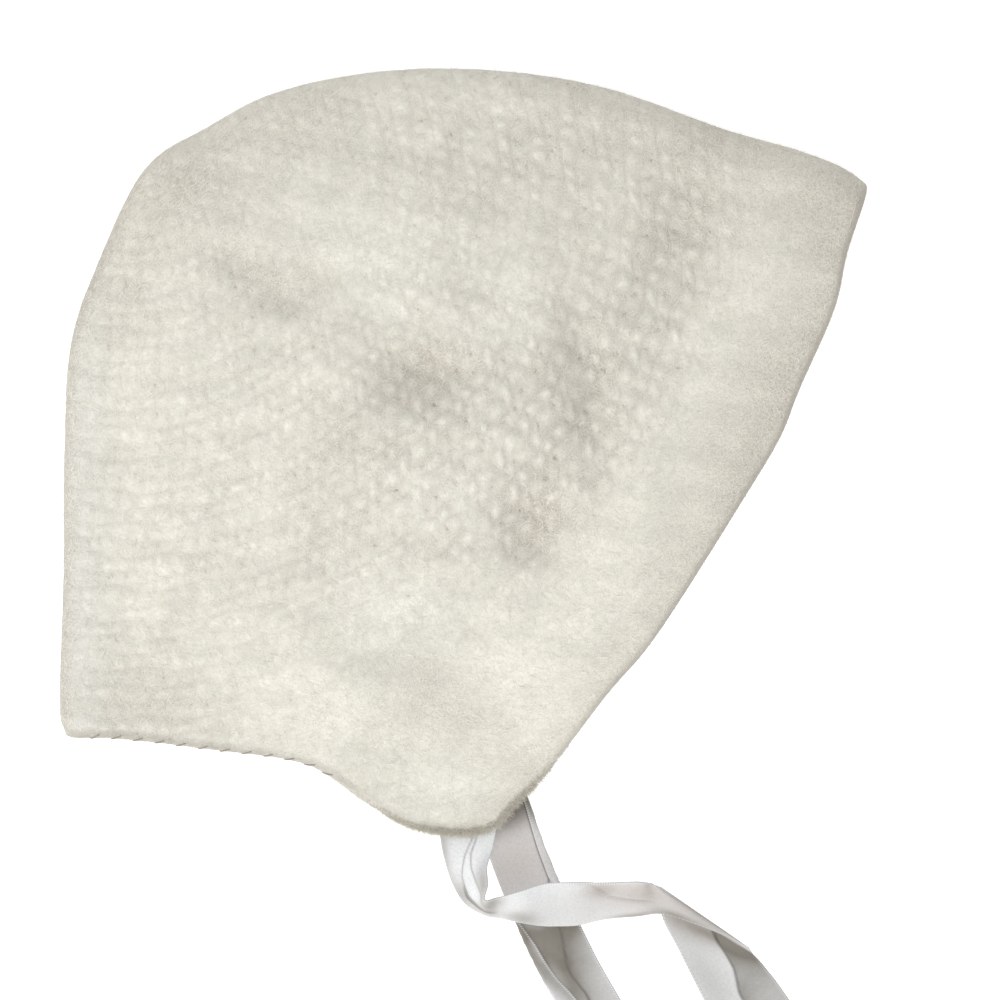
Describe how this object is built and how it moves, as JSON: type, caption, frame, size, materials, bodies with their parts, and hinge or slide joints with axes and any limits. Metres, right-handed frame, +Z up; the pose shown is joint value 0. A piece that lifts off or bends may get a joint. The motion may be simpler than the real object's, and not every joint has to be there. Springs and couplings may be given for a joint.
{
  "type": "baby bonnet",
  "caption": "Felted wool baby bonnet with ear flaps and satin ribbon ties, lying on its side, open at the face and the neck.",
  "frame": {"origin": "on the flat lower side of the bonnet, about the middle of it", "axes": "+Z up from the surface that it lies on, +X from the back fold to the peak over the forehead, +Y from the neck edge to the crown fold"},
  "size_m": [0.1758, 0.216, 0.0237],
  "materials": {
    "felted_wool": "felted knit, cream, softly brushed",
    "satin_ribbon": "satin weave, pale grey-pink, low sheen"
  },
  "bodies": {
    "root": {"felted_bonnet": "felted_wool", "ribbon_tie_upper": "satin_ribbon", "ribbon_tie_lower": "satin_ribbon"}
  },
  "joints": []
}
